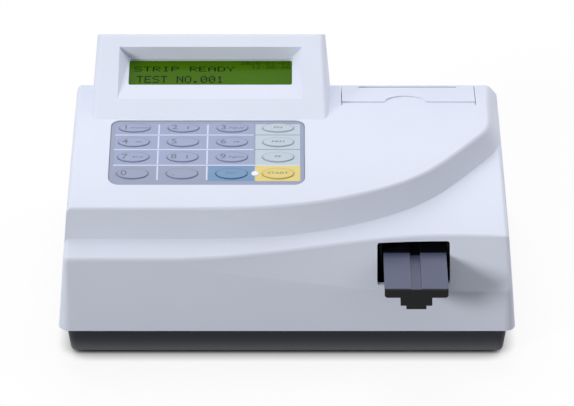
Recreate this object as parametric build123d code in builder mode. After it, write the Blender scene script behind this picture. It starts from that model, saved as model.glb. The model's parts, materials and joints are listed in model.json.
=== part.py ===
from build123d import *
from math import cos, pi, radians, sin, sqrt, tan
import os

os.makedirs("parts", exist_ok=True)

# ---------------------------------------------------------------- driving sizes (mm, degrees)
# Depths (y) are measured back from the cover's front lower edge, heights (z) from the floor.
width = 290
depth = 205
edge_z = 22                # height of the cover's lower edge
draft = 4.5                # mould draft of the cover's four sides
corner_r = 7
wall = 3
fit_gap = 0.25             # running gap between a moving piece and its opening
pin_gap = 0.05             # radial running clearance of shafts and pins
seat_gap = 0.1             # gap between a fixed piece and the opening that holds it
push_gap = 0.02            # radial gap of a gear or lens pushed onto or into its seat

deck_r = 350               # radius of the barrel-shaped deck
deck_crest_y = 126
deck_crest = 87.2          # crest of the deck above the cover's edge
ledge_drop = 14            # the ledge lies this much below the deck
deck_taper = 26            # lean of the band between deck and ledge
rear_slope_y = 174         # where the deck turns down towards the back
rear_slope = 48.3
crest_round = 10
top_round = 3              # rounding along the upper edges of the cover

console_y = 120            # front of the display console
console_slope = 18.4
console_x = (-127.5, 27.3)
console_draft = 5

display_x = (-104, 3.3)    # display window
display_y = (152.4, 180.6)
display_rim = 6.7          # slope of the recess around the window, on each side
recess_y = (137.2, 182)
recess_slope = 9
recess_floor = 2.5         # thickness under the recess
glass_below = 1.9          # the glass lies this much below the recess floor

keypad_x = (-114, 11.5)
keypad_y = (49.2, 118.8)
keypad_r = 7
keypad_recess = 1.9
membrane_t = 0.6
overlay_t = 0.8
key_x = (-98.6, -67, -35.4, -5.7)
key_y = (109.8, 93.1, 76.7, 59.9)
key_w = 20.4
key_h = 10.6
key_t = 0.8
key_travel = 0.45
key_edge = 0.3
light_x = -20.4
light_d = 4.8

lid_x = (36, 123.2)
lid_y = 140.5
lid_t = 2.2
lid_gap = 0.4
lid_end_z = 84.5
hinge_y = 190.3
hinge_z = 80.3
hinge_r = 5
hinge_groove_r = 7.4       # groove in the housing behind the barrel, which the lid swings into
hinge_pin_d = 3
hinge_cheek = 4            # thickness of the cheeks that carry the hinge pin
hinge_room = 6             # how far the cheeks reach around the pin
lid_step = 5               # width of the sunk step along the lid's front edge
scallop_w = 27
scallop_h = 18
scallop_deep = 0.9
slot_x = (47, 112)
slot_y = 169
slot_w = 1.8

window_x = (57, 103)
window_z = (31.4, 53.9)    # tray window above the cover's edge
tray_x = 80.8
tray_w = 39.7
tray_len = 118
tray_reach = 27.6          # how far the tray stands out in front of the cover at rest
tray_top = 47.4            # top of the strip tray above the cover's edge
tray_plate = 6
rail_w = 19.7
rail_h = 5.8
rail_foot_w = 12.5
rail_foot_h = 2.5
insert_t = 3
insert_len = 45            # the strip insert lies in the front of the tray
insert_step = 0.4          # the carriage behind it stands this much lower
groove_w = 6.5
groove_deep = 1.8

tray_module = 0.8
pinion_teeth = 16
pinion_y = 40
pinion_t = 4.6

base_inset = 4.5           # the base stands back this much under the cover
base_draft = 8
base_z = 1.5               # underside of the base
base_floor = 3
base_wall = 2.5
base_round = 4
base_lip = 4               # height of the lip that stands inside the cover
foot_d = 14
foot_t = 2.6
foot_spread = (198, 145)   # between the feet, across and front to back
screw_d = 3
screw_head_d = 6
screw_head_t = 2.4
cross_size, cross_w = 3.6, 0.8
screw_reach = 9            # how far the screws go into the cover's bosses
counterbore = 8
boss_d = 9
boss_inset = 16

roll_d = 38
core_d = 12.6
core_bore = 9
paper_w = 57
roll_y = 172
roll_z = 62
platen_d = 10
platen_y = 160
platen_z = 92.5
printer_module = 0.6
platen_teeth = 28
motor_teeth = 10

board_t = 1.6
lcd_frame_t = 4.4
lcd_frame_rim = (6.5, 5)   # how far the frame reaches past the window, across and along
lcd_board_rim = (7.5, 7)
lcd_hole_d = 2.6

vent_x = 85                # rear cooling slots
vent_z = 44
vent_pitch = 5.5
vent_count = 9
vent_slot = (18, 2.4)
floor_vent = (-90, 143)    # cooling slots in the base, under the power supply
floor_vent_pitch = 8
floor_vent_count = 7
floor_vent_slot = (36, 3)

inlet_w, inlet_h = 27.6, 20.4
switch_w, switch_h = 13, 19.6
serial_w, serial_h = 20, 10.4
panel_z = 46               # height of the inlet and the switch on the rear wall
panel_r = 1.2              # rounding of the rear openings and of what fills them
serial_z = 44
serial_out = 5.9           # how far the serial shell stands out from the rear wall
serial_shell_h = 7.8

serial_lean = sin(radians(draft)) * serial_shell_h / 2 - tan(radians(draft)) * (serial_z - edge_z)
rear_reach = serial_out * cos(radians(draft)) + serial_lean
front_y = (tray_reach - depth - rear_reach) / 2
half = width / 2
crest_z = edge_z + deck_crest
deck_axis_z = crest_z - deck_r


# ---------------------------------------------------------------- planes and small helpers
def at_x(x):
    """Section plane: local x runs back from the front edge, local y is the height."""
    return Plane(origin=(x, front_y, 0), x_dir=(0, 1, 0), z_dir=(1, 0, 0))


def at_y(y):
    """Upright plane that faces the front: local x is X, local y is the height."""
    return Plane(origin=(0, front_y + y, 0), x_dir=(1, 0, 0), z_dir=(0, -1, 0))


def at_z(z):
    """Level plane: local x is X, local y runs back from the front edge."""
    return Plane(origin=(0, front_y, z))


def rear_plane(x, z):
    """Plane on the outside of the drafted rear wall, its local z pointing out."""
    y = depth - (z - edge_z) * tan(radians(draft))
    lean = radians(draft)
    return Plane(origin=(x, front_y + y, z), x_dir=(-1, 0, 0), z_dir=(0, cos(lean), sin(lean)))


def deck_z(y, below=0):
    """Height of the barrel, or of a barrel concentric with it and lower by the given amount."""
    return deck_axis_z + sqrt((deck_r - below) ** 2 - (y - deck_crest_y) ** 2)


def on_deck(x, y, below=0):
    """Plane that touches the deck at (x, y), its local z along the deck's normal."""
    lean = (y - deck_crest_y) / deck_r
    radius = deck_r - below
    centre = (x, front_y + deck_crest_y + radius * sin(lean), deck_axis_z + radius * cos(lean))
    return Plane(origin=centre, x_dir=(1, 0, 0), z_dir=(0, sin(lean), cos(lean)))


def middle(span):
    return (span[0] + span[1]) / 2


def length(span):
    return span[1] - span[0]


def slab(x, y, z, rounding=0, mode=Mode.ADD):
    """Block between two values on each axis, its upright edges rounded if asked."""
    with BuildSketch(at_z(z[0])) as plan:
        with Locations((middle(x), middle(y))):
            if rounding:
                RectangleRounded(length(x), length(y), rounding)
            else:
                Rectangle(length(x), length(y))
    extrude(plan.sketch, amount=length(z), mode=mode)


def rod(y, z, d, x, mode=Mode.ADD):
    """Round bar along X."""
    with BuildSketch(at_x(x[0])) as circle:
        with Locations((y, z)):
            Circle(d / 2)
    extrude(circle.sketch, amount=length(x), mode=mode)


def post(x, y, d, z, mode=Mode.ADD):
    """Round upright post."""
    with BuildSketch(at_z(z[0])) as circle:
        with Locations((x, y)):
            Circle(d / 2)
    extrude(circle.sketch, amount=length(z), mode=mode)


def save(builder, name):
    """Label the piece and write its file."""
    builder.part.label = name
    export_step(builder.part, f"parts/{name}.step")


# ---------------------------------------------------------------- the cover's outer form
reach = 40                 # how far construction bodies run past the cover
low = edge_z - 2           # the cavity's construction bodies start below the edge
across = width + 2 * reach
crest_corner_z = deck_z(rear_slope_y)


def under_barrel(below, slope_inset, rounding=0):
    """Section of all that lies under a barrel and under the rear slope."""
    lean = radians(rear_slope)
    corner_y = rear_slope_y - slope_inset * sin(lean)
    corner_z = crest_corner_z - slope_inset * cos(lean)
    front, back = -reach / 2, depth + reach
    with BuildSketch(at_x(-half - reach)) as section:
        with BuildLine():
            ThreePointArc(
                (front, deck_z(front, below)),
                (deck_crest_y, deck_z(deck_crest_y, below)),
                (back, deck_z(back, below)),
            )
            Polyline(
                (back, deck_z(back, below)),
                (back, -reach),
                (front, -reach),
                (front, deck_z(front, below)),
            )
        make_face()
        run = back - corner_y
        with BuildLine():
            Polyline(
                (corner_y - run, corner_z + run * tan(lean)),
                (back + 1, corner_z - (run + 1) * tan(lean)),
                (back + 1, corner_z + run * tan(lean)),
                close=True,
            )
        make_face(mode=Mode.SUBTRACT)
        if rounding:
            crest = section.vertices().sort_by_distance((corner_y, corner_z, 0))[0]
            fillet(crest, rounding)
    return section.sketch


def plan_block(inset, bottom):
    """The drafted block on the cover's plan, which bounds every side."""
    grow = (edge_z - bottom) * tan(radians(draft)) - inset
    with BuildPart() as block:
        with BuildSketch(at_z(bottom)):
            with Locations((0, depth / 2)):
                RectangleRounded(width + 2 * grow, depth + 2 * grow, corner_r)
        extrude(amount=130, taper=draft)
    return block.part


swoosh_level = 45          # height above the edge at which the swoosh outline is drawn
swoosh = [
    (half - 215, 14.6),
    (half - 136.2, 17.9),
    (half - 85, 29),
    (half - 44.5, 48),
    (half - 8, 84),
    (half + 7.4, 126),
]


def swoosh_block(inset):
    """Tapered block whose front and right side follow the swoosh; lowering it sets it in."""
    level = edge_z + swoosh_level - inset / sin(radians(deck_taper))
    with BuildPart() as block:
        with BuildSketch(at_z(level)):
            with BuildLine():
                Spline(*swoosh, tangents=[(1, 0), (0, 1)])
                Polyline(
                    swoosh[-1],
                    (swoosh[-1][0], depth + reach),
                    (-half - reach, depth + reach),
                    (-half - reach, swoosh[0][1]),
                    swoosh[0],
                )
            make_face()
        extrude(amount=70, taper=deck_taper)
    return block.part


# Front scoop, a facet that grows out of the front face from left to right
scoop_x = (-half + 30, half + 10)
scoop_stations = 9
scoop_crease = (46, 27.4)  # height of its lower crease above the cover's edge, left and right
scoop_top_y = (3.2, 22.6)  # depth at which it meets the ledge, left and right
scoop_start = -half + 35   # where crease and top begin to swing
scoop_crease_run = 200
scoop_top_run = 205
scoop_top_delay = 1.35     # the top swings later than the crease
scoop_clear = 2.5          # the facet starts this much in front of the front face
scoop_clear_run = 55
scoop_past = 0.35          # share by which each station's facet runs past both its ends
crease_zone = 42           # the crease lies below this height above the edge and stays sharp
front_lean = tan(radians(draft))


def swing(span, start, run, x, delay=1):
    """Value at x of an even swing from the first value of a span to its second."""
    share = min(max((x - start) / run, 0), 1) ** delay
    return span[0] + length(span) * share * share * (3 - 2 * share)


def scoop_block(inset):
    """Loft in front of the scooped facet, to be taken away from the front."""
    shift = inset * 1.2
    with BuildPart() as block:
        for i in range(scoop_stations):
            x = scoop_x[0] + length(scoop_x) * i / (scoop_stations - 1)
            crease = swing(scoop_crease, scoop_start, scoop_crease_run, x)
            top_y = swing(scoop_top_y, scoop_start, scoop_top_run, x, scoop_top_delay)
            clear = swing((scoop_clear, 0), scoop_x[0], scoop_clear_run, x)
            crease_y = crease * front_lean - clear
            top = deck_z(top_y, ledge_drop) - edge_z
            step_y, step_z = scoop_past * (top_y - crease_y), scoop_past * (top - crease)
            with BuildSketch(at_x(x)):
                with BuildLine():
                    Polyline(
                        (crease_y - step_y + shift, edge_z + crease - step_z),
                        (top_y + step_y + shift, edge_z + top + step_z),
                        (-reach / 2, edge_z + top + step_z),
                        (-reach / 2, edge_z + crease - step_z),
                        close=True,
                    )
                make_face()
        loft()
    return block.part


def console_block(inset):
    """Display console: a wedge that rises towards the back."""
    rise = tan(radians(console_slope))
    start_z = deck_z(console_y) - inset / cos(radians(console_slope))
    base = 60
    lead = 8
    grow = (deck_crest - base) * tan(radians(console_draft)) - inset
    front, back = console_y - lead, depth + reach
    left, right = console_x[0] - grow, console_x[1] + grow
    with BuildPart() as block:
        add(plan_block(inset, low))
        with BuildSketch(at_z(edge_z + base)):
            with BuildLine():
                Polyline((left, front), (right, front), (right, back), (left, back), close=True)
            make_face()
        extrude(amount=80, taper=console_draft, mode=Mode.INTERSECT)
        with BuildSketch(at_x(-half - reach)):
            with BuildLine():
                Polyline(
                    (front, 0), (front, start_z - lead * rise),
                    (back, start_z + (back - console_y) * rise), (back, 0), close=True,
                )
            make_face()
        extrude(amount=across, mode=Mode.INTERSECT)
    return block.part


def cover_form(inset, bottom):
    """Everything inside the cover's outer surface, or inside a parallel inner one."""
    sharp = inset > 0
    with BuildPart() as body:
        add(plan_block(inset, bottom))
        extrude(under_barrel(ledge_drop + inset, inset), amount=across, mode=Mode.INTERSECT)
        add(scoop_block(inset), mode=Mode.SUBTRACT)
        if not sharp:
            upper = body.edges().filter_by(lambda e: e.center().Z > edge_z + crease_zone)
            fillet(upper.filter_by(Axis.X, reverse=True), top_round)
    with BuildPart() as deck:
        add(plan_block(inset, bottom))
        rounding = 0.1 + crest_round - inset
        extrude(under_barrel(inset, inset, rounding), amount=across, mode=Mode.INTERSECT)
        add(swoosh_block(inset), mode=Mode.INTERSECT)
        if not sharp:
            tops = deck.faces().filter_by(lambda f: f.normal_at().Z > 0.5)
            fillet(tops.edges().filter_by(Axis.X, reverse=True), top_round)
    with BuildPart() as console:
        add(console_block(inset))
        if not sharp:
            slope = console.faces().sort_by(Axis.Z)[-1]
            rim = slope.edges().sort_by(Axis.Y)
            fillet(rim[1:], top_round + 1)
    with BuildPart() as form:
        add(body.part)
        add(deck.part)
        add(console.part)
    return form.part


# ---------------------------------------------------------------- places shared by several pieces
recess_rise = tan(radians(recess_slope))
recess_start_z = deck_z(console_y) + (recess_y[0] - console_y) * tan(radians(console_slope))


def recess_z(y, below=0):
    """Height of the display recess's floor, or of a plane below it."""
    return recess_start_z + (y - recess_y[0]) * recess_rise - below / cos(radians(recess_slope))


def on_recess(below):
    """Plane along the recess floor, centred on the display window."""
    y = middle(display_y)
    lean = radians(recess_slope)
    return Plane(
        origin=(middle(display_x), front_y + y + below * sin(lean), recess_z(y) - below * cos(lean)),
        x_dir=(1, 0, 0),
        z_dir=(0, -sin(lean), cos(lean)),
    )


display_w = length(display_x)
display_h = length(display_y) / cos(radians(recess_slope))
window_mid = middle(window_x)
tray_z = edge_z + tray_top
boss_places = [
    (sx * (half - boss_inset), y)
    for sx in (-1, 1)
    for y in (boss_inset, depth - boss_inset)
]
pinion_r = tray_module * pinion_teeth / 2
rack_pitch_x = tray_x + rail_w / 2 + 1.25 * tray_module
pinion_x = rack_pitch_x + pinion_r + 0.1
inlet = (-half + 47, panel_z)
switch = (-half + 82, panel_z)
serial = (-half + 125, serial_z)
light_y = key_y[3]


def gear(plane, teeth, module, thickness, bore, slack=0.16):
    """Spur gear with teeth of two straight stretches a flank, built up from a plane."""
    pitch_r = module * teeth / 2
    root, tip = pitch_r - 1.25 * module, pitch_r + module
    half_tooth = pi / 2 / teeth - slack / 2 / pitch_r
    with BuildSketch(plane) as profile:
        Circle(root)
        with PolarLocations(0, teeth):
            with BuildLine():
                wide, narrow = 1.55 * half_tooth, 0.45 * half_tooth
                Polyline(
                    (0.97 * root * cos(wide), -0.97 * root * sin(wide)),
                    (pitch_r * cos(half_tooth), -pitch_r * sin(half_tooth)),
                    (tip * cos(narrow), -tip * sin(narrow)),
                    (tip * cos(narrow), tip * sin(narrow)),
                    (pitch_r * cos(half_tooth), pitch_r * sin(half_tooth)),
                    (0.97 * root * cos(wide), 0.97 * root * sin(wide)),
                    close=True,
                )
            make_face()
        Circle(bore / 2, mode=Mode.SUBTRACT)
    extrude(profile.sketch, amount=thickness)


def deck_layer(x, y, rounding, top, bottom):
    """Sheet that follows the deck between two depths below it."""
    with BuildPart() as layer:
        slab(x, y, (edge_z + 40, crest_z + 5), rounding)
        extrude(under_barrel(top, 0), amount=across, mode=Mode.INTERSECT)
        extrude(under_barrel(bottom, 0), amount=across, mode=Mode.SUBTRACT)
    return layer.part


def key_outline(grow):
    """Oval of a key, or of the opening around it, in the active sketch."""
    Ellipse(key_w / 2 + grow, key_h / 2 + grow)


# ---------------------------------------------------------------- upper housing
def display_recess():
    """Sunk surround of the display: level with the console in front, deep at the back."""
    past = 6
    back_z = recess_start_z + (recess_y[1] - recess_y[0]) * tan(radians(console_slope))
    floor_y = display_y[1] + 0.6
    x = (display_x[0] - display_rim, display_x[1] + display_rim)
    with BuildPart() as recess:
        with BuildSketch(at_x(x[0])):
            with BuildLine():
                Polyline(
                    (recess_y[0], recess_start_z),
                    (floor_y, recess_z(floor_y)),
                    (recess_y[1], back_z),
                    (recess_y[1] + 0.5, back_z + past),
                    (recess_y[0], recess_start_z + past),
                    close=True,
                )
            make_face()
        extrude(amount=length(x))
        for side, edge_x in ((-1, x[0]), (1, x[1])):
            front = Vector(edge_x, front_y + recess_y[0], recess_start_z)
            back = Vector(edge_x, front_y + recess_y[1], back_z)
            inner = Vector(edge_x - side * display_rim, front_y + floor_y, recess_z(floor_y))
            normal = (back - front).cross(inner - front).normalized() * side
            split(bisect_by=Plane(origin=front, z_dir=normal), keep=Keep.TOP)
    return recess.part


with BuildPart() as cavity:
    add(cover_form(wall, low))
    # material that stays around the display recess
    floor_y = (recess_y[0] - 4, recess_y[1] + recess_floor)
    with BuildSketch(at_x(display_x[0] - display_rim - recess_floor)):
        with BuildLine():
            Polyline(
                (floor_y[0], recess_z(floor_y[0], recess_floor)),
                (floor_y[1], recess_z(floor_y[1], recess_floor)),
                (floor_y[1], crest_z + reach),
                (floor_y[0], crest_z + reach),
                close=True,
            )
        make_face()
    extrude(amount=display_w + 2 * (display_rim + recess_floor), mode=Mode.SUBTRACT)
    for x, y in boss_places:
        post(x, y, boss_d, (edge_z, crest_z + reach), mode=Mode.SUBTRACT)
    # cheeks that carry the lid's hinge pin
    for x in (lid_x[0] - lid_gap - hinge_cheek, lid_x[1] + lid_gap):
        slab((x, x + hinge_cheek), (hinge_y - hinge_room, depth), (hinge_z - hinge_room, crest_z),
             mode=Mode.SUBTRACT)

with BuildPart() as upper_housing:
    add(cover_form(0, edge_z))
    add(cavity.part, mode=Mode.SUBTRACT)
    add(display_recess(), mode=Mode.SUBTRACT)
    with BuildSketch(on_recess(-1)):
        RectangleRounded(display_w, display_h, 1.5)
    extrude(amount=-recess_floor - 2, mode=Mode.SUBTRACT)
    add(deck_layer(keypad_x, keypad_y, keypad_r, -6, keypad_recess), mode=Mode.SUBTRACT)
    # opening of the printer bay, with a groove for the barrel of the lid's hinge
    open_x = (lid_x[0] - lid_gap, lid_x[1] + lid_gap)
    slab(open_x, (lid_y - lid_gap, depth + 5), (lid_end_z, crest_z + 20), mode=Mode.SUBTRACT)
    rod(hinge_y, hinge_z, 2 * hinge_groove_r, open_x, mode=Mode.SUBTRACT)
    pin_x = (open_x[0] - hinge_cheek, open_x[1] + hinge_cheek)
    rod(hinge_y, hinge_z, hinge_pin_d, pin_x, mode=Mode.SUBTRACT)
    # tray window
    with BuildSketch(at_y(-reach)):
        with Locations((window_mid, edge_z + middle(window_z))):
            RectangleRounded(length(window_x), length(window_z), 1.6)
    extrude(amount=-reach - 45, mode=Mode.SUBTRACT)
    # screw pilots and the openings of the rear wall
    for x, y in boss_places:
        post(x, y, screw_d, (edge_z - 1, edge_z + screw_reach + 1), mode=Mode.SUBTRACT)
    for place, w, h in (
        (inlet, inlet_w, inlet_h), (switch, switch_w, switch_h), (serial, serial_w, serial_h),
    ):
        with BuildSketch(rear_plane(*place)):
            RectangleRounded(w + 2 * seat_gap, h + 2 * seat_gap, panel_r)
        extrude(amount=-wall * 2, mode=Mode.SUBTRACT)
    with BuildSketch(rear_plane(vent_x, vent_z)):
        with GridLocations(vent_pitch, 1, vent_count, 1):
            SlotOverall(*vent_slot, rotation=90)
    extrude(amount=-wall * 2, mode=Mode.SUBTRACT)
save(upper_housing, "upper_housing")

# ---------------------------------------------------------------- base, feet and screws

def base_block(inset, bottom):
    """Block inside the base's drafted sides, which widen upwards."""
    height = edge_z - bottom
    shrink = base_inset + inset
    with BuildPart() as block:
        with BuildSketch(at_z(edge_z)):
            with Locations((0, depth / 2)):
                RectangleRounded(width - 2 * shrink, depth - 2 * shrink, corner_r - 1)
        extrude(amount=-height, taper=base_draft)
    return block.part


with BuildPart() as base_housing:
    add(base_block(0, base_z))
    fillet(base_housing.faces().sort_by(Axis.Z)[0].edges(), base_round)
    add(base_block(base_wall, base_z + base_floor), mode=Mode.SUBTRACT)
    # lip inside the cover
    inner = base_inset + base_wall
    lip_z = (edge_z, edge_z + base_lip)
    slab((-half + base_inset, half - base_inset), (base_inset, depth - base_inset),
         lip_z, corner_r - 1)
    slab((-half + inner, half - inner), (inner, depth - inner), lip_z, corner_r - base_wall - 0.5,
         mode=Mode.SUBTRACT)
    for x, y in boss_places:
        post(x, y, boss_d + 4, (edge_z - 1, edge_z + base_lip + 1), mode=Mode.SUBTRACT)
        post(x, y, boss_d, (base_z + 1, edge_z))
    for x, y in boss_places:
        post(x, y, screw_d + 0.4, (base_z - 1, edge_z + 1), mode=Mode.SUBTRACT)
        post(x, y, screw_head_d + 0.6, (base_z - 1, base_z + counterbore), mode=Mode.SUBTRACT)
    with BuildSketch(at_z(base_z)):
        with Locations((0, depth / 2)):
            with GridLocations(*foot_spread, 2, 2):
                Circle(foot_d / 2 + seat_gap)
    extrude(amount=foot_t - base_z, mode=Mode.SUBTRACT)
    # cooling slots under the power supply
    with BuildSketch(at_z(base_z - 1)):
        with Locations(floor_vent):
            with GridLocations(floor_vent_pitch, 1, floor_vent_count, 1):
                SlotOverall(*floor_vent_slot, rotation=90)
    extrude(amount=base_floor + 2, mode=Mode.SUBTRACT)
save(base_housing, "base_housing")

with BuildPart() as feet:
    with BuildSketch(at_z(0)):
        with Locations((0, depth / 2)):
            with GridLocations(*foot_spread, 2, 2):
                Circle(foot_d / 2)
    extrude(amount=foot_t)
    fillet(feet.edges().group_by(Axis.Z)[0], 0.6)
save(feet, "feet")

with BuildPart() as housing_screws:
    seat_z = base_z + counterbore
    for x, y in boss_places:
        post(x, y, screw_head_d, (seat_z - screw_head_t, seat_z))
        post(x, y, screw_d, (seat_z, edge_z + screw_reach))
        with BuildSketch(at_z(seat_z - screw_head_t)):
            with Locations((x, y)):
                Rectangle(cross_size, cross_w)
                Rectangle(cross_w, cross_size)
        extrude(amount=screw_head_t / 2, mode=Mode.SUBTRACT)
save(housing_screws, "housing_screws")

# ---------------------------------------------------------------- keypad
overlay_top = keypad_recess - membrane_t - overlay_t
film_x = (keypad_x[0] + seat_gap, keypad_x[1] - seat_gap)
film_y = (keypad_y[0] + seat_gap, keypad_y[1] - seat_gap)
film_r = keypad_r - seat_gap
with BuildPart() as switch_membrane:
    add(deck_layer(film_x, film_y, film_r, keypad_recess - membrane_t, keypad_recess))
save(switch_membrane, "switch_membrane")

with BuildPart() as keypad_overlay:
    add(deck_layer(film_x, film_y, film_r, overlay_top, overlay_top + overlay_t))
    for x in key_x:
        for y in key_y:
            with BuildSketch(on_deck(x, y, keypad_recess + 1)):
                key_outline(fit_gap)
            extrude(amount=keypad_recess + 4, mode=Mode.SUBTRACT)
    with BuildSketch(on_deck(light_x, light_y, keypad_recess + 1)):
        Circle(light_d / 2 + seat_gap / 2)
    extrude(amount=keypad_recess + 4, mode=Mode.SUBTRACT)
save(keypad_overlay, "keypad_overlay")

key_names = [
    ["1", "2", "3", "fn"],
    ["4", "5", "6", "prn"],
    ["7", "8", "9", "feed"],
    ["0", "point", "esc", "start"],
]
key_under = keypad_recess - membrane_t - key_travel - pin_gap
for row, y in zip(key_names, key_y):
    for key_name, x in zip(row, key_x):
        with BuildPart() as key:
            with BuildSketch(on_deck(x, y, key_under)):
                key_outline(0)
            extrude(amount=key_t)
            top = key.faces().filter_by(GeomType.PLANE).sort_by(Axis.Z)[-1]
            chamfer(top.edges(), key_edge)
        save(key, f"key_{key_name}")

with BuildPart() as status_light:
    with BuildSketch(on_deck(light_x, light_y, keypad_recess - membrane_t)):
        Circle(light_d / 2)
    extrude(amount=overlay_t + 0.3)
    fillet(status_light.edges().sort_by(Axis.Z)[-1], 0.3)
save(status_light, "status_light")

# ---------------------------------------------------------------- display
with BuildPart() as lcd_glass:
    with BuildSketch(on_recess(glass_below)):
        RectangleRounded(display_w - 2 * seat_gap, display_h - 2 * seat_gap, 1.3)
    extrude(amount=-3)
save(lcd_glass, "lcd_glass")

with BuildPart() as lcd_frame:
    with BuildSketch(on_recess(recess_floor)):
        Rectangle(display_w + 2 * lcd_frame_rim[0], display_h + 2 * lcd_frame_rim[1])
        RectangleRounded(display_w, display_h, 1.3, mode=Mode.SUBTRACT)
    extrude(amount=-lcd_frame_t)
save(lcd_frame, "lcd_frame")

with BuildPart() as lcd_board:
    board_w, board_h = display_w + 2 * lcd_board_rim[0], display_h + 2 * lcd_board_rim[1]
    with BuildSketch(on_recess(recess_floor + lcd_frame_t)):
        Rectangle(board_w, board_h)
        with GridLocations(board_w - 6, board_h - 6, 2, 2):
            Circle(lcd_hole_d / 2, mode=Mode.SUBTRACT)
    extrude(amount=-board_t)
save(lcd_board, "lcd_board")

# ---------------------------------------------------------------- printer lid and its hinge
with BuildPart() as printer_lid:
    slab(lid_x, (lid_y, depth), (lid_end_z, crest_z + 20))
    extrude(under_barrel(0, 0, crest_round), amount=across, mode=Mode.INTERSECT)
    extrude(under_barrel(lid_t, lid_t, crest_round - lid_t), amount=across, mode=Mode.SUBTRACT)
    # stepped front edge with a thumb scallop behind it
    slab((lid_x[0] - 1, lid_x[1] + 1), (lid_y - 1, lid_y + lid_step),
         (deck_z(lid_y) - 1, crest_z + 5), mode=Mode.SUBTRACT)
    with BuildSketch(on_deck(middle(lid_x) - 2, lid_y + lid_step, scallop_deep)):
        Ellipse(scallop_w / 2, scallop_h / 2)
    extrude(amount=5, mode=Mode.SUBTRACT)
    # paper slot
    with BuildSketch(at_z(crest_z - 15)):
        with Locations((middle(slot_x), slot_y)):
            SlotOverall(length(slot_x), slot_w)
    extrude(amount=30, mode=Mode.SUBTRACT)
    rod(hinge_y, hinge_z, 2 * hinge_r, lid_x)
    rod(hinge_y, hinge_z, hinge_pin_d + 2 * pin_gap, (lid_x[0] - 1, lid_x[1] + 1),
        mode=Mode.SUBTRACT)
save(printer_lid, "printer_lid")

with BuildPart() as lid_pin:
    rod(hinge_y, hinge_z, hinge_pin_d, pin_x)
    chamfer(lid_pin.edges().filter_by(GeomType.CIRCLE), 0.4)
save(lid_pin, "lid_pin")

# ---------------------------------------------------------------- printer under the lid
bay_x = (lid_x[0] + 5, lid_x[1] - 5)
cheek = 2
bay_y = (140, 194)
bay_top = 66
paper_mid = middle(bay_x)
paper_x = (paper_mid - paper_w / 2, paper_mid + paper_w / 2)
platen_gear_r = printer_module * platen_teeth / 2
motor_gear_r = printer_module * motor_teeth / 2
motor_drop = radians(40)
motor_y = platen_y - (platen_gear_r + motor_gear_r + 0.1) * cos(motor_drop)
motor_z = platen_z - (platen_gear_r + motor_gear_r + 0.1) * sin(motor_drop)
gear_x = (bay_x[1] - 1.2, bay_x[1] + 1.8)
frame_x = (bay_x[0] + 3, gear_x[0] - 0.8)
frame_top = platen_z + 6
head_y = platen_y + platen_d / 2 + 0.3

with BuildPart() as paper_bay:
    for x in ((bay_x[0], bay_x[0] + cheek), (bay_x[1] - cheek - 2, bay_x[1] - 2)):
        slab(x, bay_y, (base_z + base_floor, bay_top))
    slab((bay_x[0], bay_x[1] - 2), (roll_y - 20, bay_y[1]), (roll_z - 24, roll_z))
    rod(roll_y, roll_z, roll_d + 2 * fit_gap + 0.3, (paper_x[0] - 0.5, paper_x[1] + 0.5),
        mode=Mode.SUBTRACT)
    slab((paper_x[0] - 0.5, paper_x[1] + 0.5), (roll_y - 17, roll_y + 17), (roll_z, roll_z + 6),
         mode=Mode.SUBTRACT)
save(paper_bay, "paper_bay")

with BuildPart() as paper_roll:
    rod(roll_y, roll_z, roll_d, paper_x)
    rod(roll_y, roll_z, core_d, paper_x, mode=Mode.SUBTRACT)
save(paper_roll, "paper_roll")

with BuildPart() as paper_core:
    rod(roll_y, roll_z, core_d, paper_x)
    rod(roll_y, roll_z, core_bore, paper_x, mode=Mode.SUBTRACT)
save(paper_core, "paper_core")

with BuildPart() as printer_frame:
    for x in ((frame_x[0], frame_x[0] + cheek), (frame_x[1] - cheek, frame_x[1])):
        slab(x, (bay_y[0], head_y + 6), (bay_top, frame_top))
    slab(frame_x, (bay_y[0], bay_y[0] + cheek), (bay_top, frame_top - cheek))
    slab((bay_x[0], frame_x[1]), (bay_y[0], roll_y - 21), (bay_top, bay_top + 2))
    rod(platen_y, platen_z, 4 + 2 * pin_gap, (frame_x[0] - 1, frame_x[1] + 1), mode=Mode.SUBTRACT)
    rod(motor_y, motor_z, 3, (frame_x[1] - 3, frame_x[1] + 1), mode=Mode.SUBTRACT)
save(printer_frame, "printer_frame")

with BuildPart() as platen_roller:
    rod(platen_y, platen_z, platen_d, (paper_x[0] - 0.5, paper_x[1] + 0.5))
    rod(platen_y, platen_z, 4, (frame_x[0] - 1, gear_x[1] + 0.6))
save(platen_roller, "platen_roller")

with BuildPart() as platen_gear:
    gear(at_x(gear_x[0]) * Pos(platen_y, platen_z, 0), platen_teeth, printer_module,
         length(gear_x), 4 + 2 * push_gap)
save(platen_gear, "platen_gear")

with BuildPart() as printer_motor:
    rod(motor_y, motor_z, 11, (frame_x[1] - cheek - 12, frame_x[1] - cheek))
save(printer_motor, "printer_motor")

with BuildPart() as motor_gear:
    phase = Rot(0, 0, -40 + 180 / motor_teeth)
    gear(at_x(gear_x[0]) * Pos(motor_y, motor_z, 0) * phase, motor_teeth, printer_module,
         length(gear_x), 1.5)
    rod(motor_y, motor_z, 1.5, (frame_x[1] - cheek + 0.2, gear_x[1]))
save(motor_gear, "motor_gear")

with BuildPart() as print_head:
    slab((frame_x[0] + cheek, frame_x[1] - cheek), (head_y, head_y + 4), (platen_z - 8, platen_z + 4))
    slab((paper_x[0], paper_x[1]), (head_y + 4, head_y + 6), (platen_z - 8, platen_z - 1))
save(print_head, "print_head")

# ---------------------------------------------------------------- tray, rack and drive
guide_y = (26, 124)
guide_wall = 1.6
side_gap = 0.6
plate_z = tray_z - tray_plate
stem_z = plate_z - rail_h
foot_z = stem_z - rail_foot_h
rack_t = 5

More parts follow.
